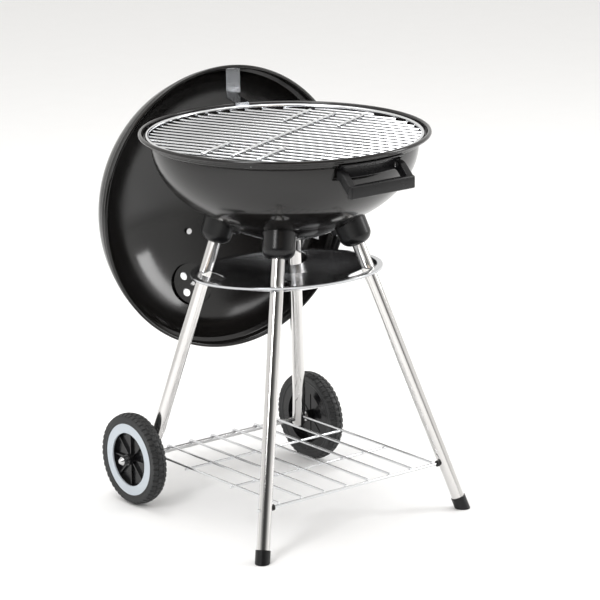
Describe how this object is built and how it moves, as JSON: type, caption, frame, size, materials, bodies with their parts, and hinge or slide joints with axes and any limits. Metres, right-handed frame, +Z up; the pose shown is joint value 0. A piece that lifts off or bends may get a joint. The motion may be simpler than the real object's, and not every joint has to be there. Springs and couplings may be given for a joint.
{
  "type": "kettle charcoal grill",
  "caption": "Kettle charcoal grill with its domed lid hung behind the bowl, wire grates, splayed tube legs, a low wire rack and wheels at the rear.",
  "frame": {"origin": "on the floor, in the middle of the grill's bounding box seen from above; from there the bowl's axis is 38.3 mm towards -X and 87.3 mm towards -Y", "axes": "+Z up; the bowl's front handle faces -Y; the two wheels are at +Y and their axle runs along X"},
  "size_m": [0.5363, 0.6645, 0.6757],
  "materials": {
    "black_enamel": "gloss",
    "black_plastic": "satin",
    "chrome_wire": "bright",
    "plated_wire": "satin",
    "polished_tube": "polished",
    "bright_sheet": "polished",
    "zinc_hardware": "zinc plated",
    "wheel_black": "satin",
    "tyre_black": "matte",
    "wheel_pale": "satin"
  },
  "bodies": {
    "frame": {"bowl": "black_enamel", "bowl_handle_front": "black_plastic", "bowl_handle_rear": "black_plastic", "handle_bolts": "zinc_hardware", "handle_nuts": "zinc_hardware", "leg_socket_front_left": "black_plastic", "leg_socket_front_right": "black_plastic", "leg_socket_rear_left": "black_plastic", "leg_socket_rear_right": "black_plastic", "socket_bolts": "zinc_hardware", "socket_nuts": "zinc_hardware", "leg_front_left": "polished_tube", "foot_cap_front_left": "black_plastic", "leg_front_right": "polished_tube", "foot_cap_front_right": "black_plastic", "leg_rear_left": "polished_tube", "leg_rear_right": "polished_tube", "ash_catcher": "bright_sheet", "bottom_rack": "chrome_wire", "rack_grommets": "black_plastic", "axle": "zinc_hardware", "axle_cap_nuts": "zinc_hardware", "axle_washers": "zinc_hardware", "bottom_damper_rivet": "zinc_hardware"},
    "lid": {"lid": "black_enamel", "lid_handle": "black_plastic", "lid_handle_screws": "zinc_hardware", "lid_hook": "bright_sheet", "lid_hook_rivets": "zinc_hardware", "lid_damper_rivet": "zinc_hardware"},
    "lid_damper": {"lid_damper": "bright_sheet"},
    "bottom_damper": {"bottom_damper": "bright_sheet"},
    "cooking_grate": {"cooking_grate": "chrome_wire"},
    "charcoal_grate": {"charcoal_grate": "plated_wire"},
    "left_wheel": {"wheel_hub_left": "wheel_black", "tyre_left": "tyre_black", "wheel_trim_ring_left": "wheel_pale"},
    "right_wheel": {"wheel_hub_right": "wheel_black", "tyre_right": "tyre_black", "wheel_trim_ring_right": "wheel_pale"}
  },
  "joints": [
    {"name": "lid_lift", "type": "slide", "parent": "frame", "child": "lid", "axis": [0, 0, 1], "range_m": [0, 0.25]},
    {"name": "lid_damper_turn", "type": "hinge", "parent": "lid", "child": "lid_damper", "pos_m": [0.02796, 0.25915, 0.28704], "axis": [0.0476, 0.8957, -0.442], "range_deg": [0, 45]},
    {"name": "bottom_damper_turn", "type": "hinge", "parent": "frame", "child": "bottom_damper", "pos_m": [-0.0383, -0.0873, 0.45], "axis": [0, 0, -1], "range_deg": [0, 45]},
    {"name": "cooking_grate_lift", "type": "slide", "parent": "frame", "child": "cooking_grate", "axis": [0, 0, 1], "range_m": [0, 0.25]},
    {"name": "charcoal_grate_lift", "type": "slide", "parent": "frame", "child": "charcoal_grate", "axis": [0, 0, 1], "range_m": [0, 0.06]},
    {"name": "left_wheel_spin", "type": "hinge", "parent": "frame", "child": "left_wheel", "pos_m": [-0.2209, 0.0847, 0.075], "axis": [1, 0, 0], "continuous": true},
    {"name": "right_wheel_spin", "type": "hinge", "parent": "frame", "child": "right_wheel", "pos_m": [0.1443, 0.0847, 0.075], "axis": [1, 0, 0], "continuous": true}
  ]
}
